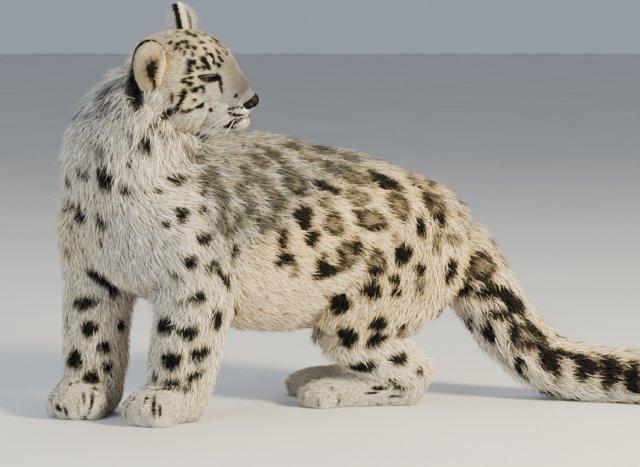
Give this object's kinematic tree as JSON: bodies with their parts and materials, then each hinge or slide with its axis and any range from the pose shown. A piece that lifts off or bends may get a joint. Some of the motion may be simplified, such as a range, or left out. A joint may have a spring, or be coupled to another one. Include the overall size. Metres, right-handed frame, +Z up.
{
  "type": "snow leopard cub",
  "caption": "Life-size snow leopard cub standing on all fours, head turned back over its left shoulder, thick spotted coat and long heavy tail on the floor.",
  "frame": {"origin": "centre of the model's box on the floor under its feet", "axes": "+Z up; the cub's trunk faces -X and a little towards -Y, its left side is towards -Y, its tail lies towards +X"},
  "size_m": [1.0862, 0.4206, 0.6178],
  "materials": {
    "head_fur": "short dense cream and grey fur with small black spots",
    "ear_fur": "short cream fur inside, black fur with a pale patch behind",
    "ruff_fur": "long soft off-white fur with blurred dark spots",
    "body_fur": "thick grey and cream fur with open dark rosettes",
    "leg_fur": "dense cream-white fur with solid dark spots",
    "tail_fur": "long thick fur, grey above and white below, with dark half rings",
    "nose_skin": "bare damp black skin",
    "eye": "wet grey-green eye with a round pupil"
  },
  "bodies": {
    "root": {"head": "head_fur", "nose": "nose_skin", "eye_left": "eye", "eye_right": "eye", "ear_left": "ear_fur", "ear_right": "ear_fur", "neck": "ruff_fur", "chest": "ruff_fur", "loin": "body_fur", "thigh_left": "body_fur", "thigh_right": "body_fur", "foreleg_left": "leg_fur", "foreleg_right": "leg_fur", "forefoot_left": "leg_fur", "forefoot_right": "leg_fur", "hindleg_left": "leg_fur", "hindleg_right": "leg_fur", "hindfoot_left": "leg_fur", "hindfoot_right": "leg_fur", "tail_1": "tail_fur", "tail_2": "tail_fur", "tail_3": "tail_fur", "tail_4": "tail_fur"}
  },
  "joints": []
}
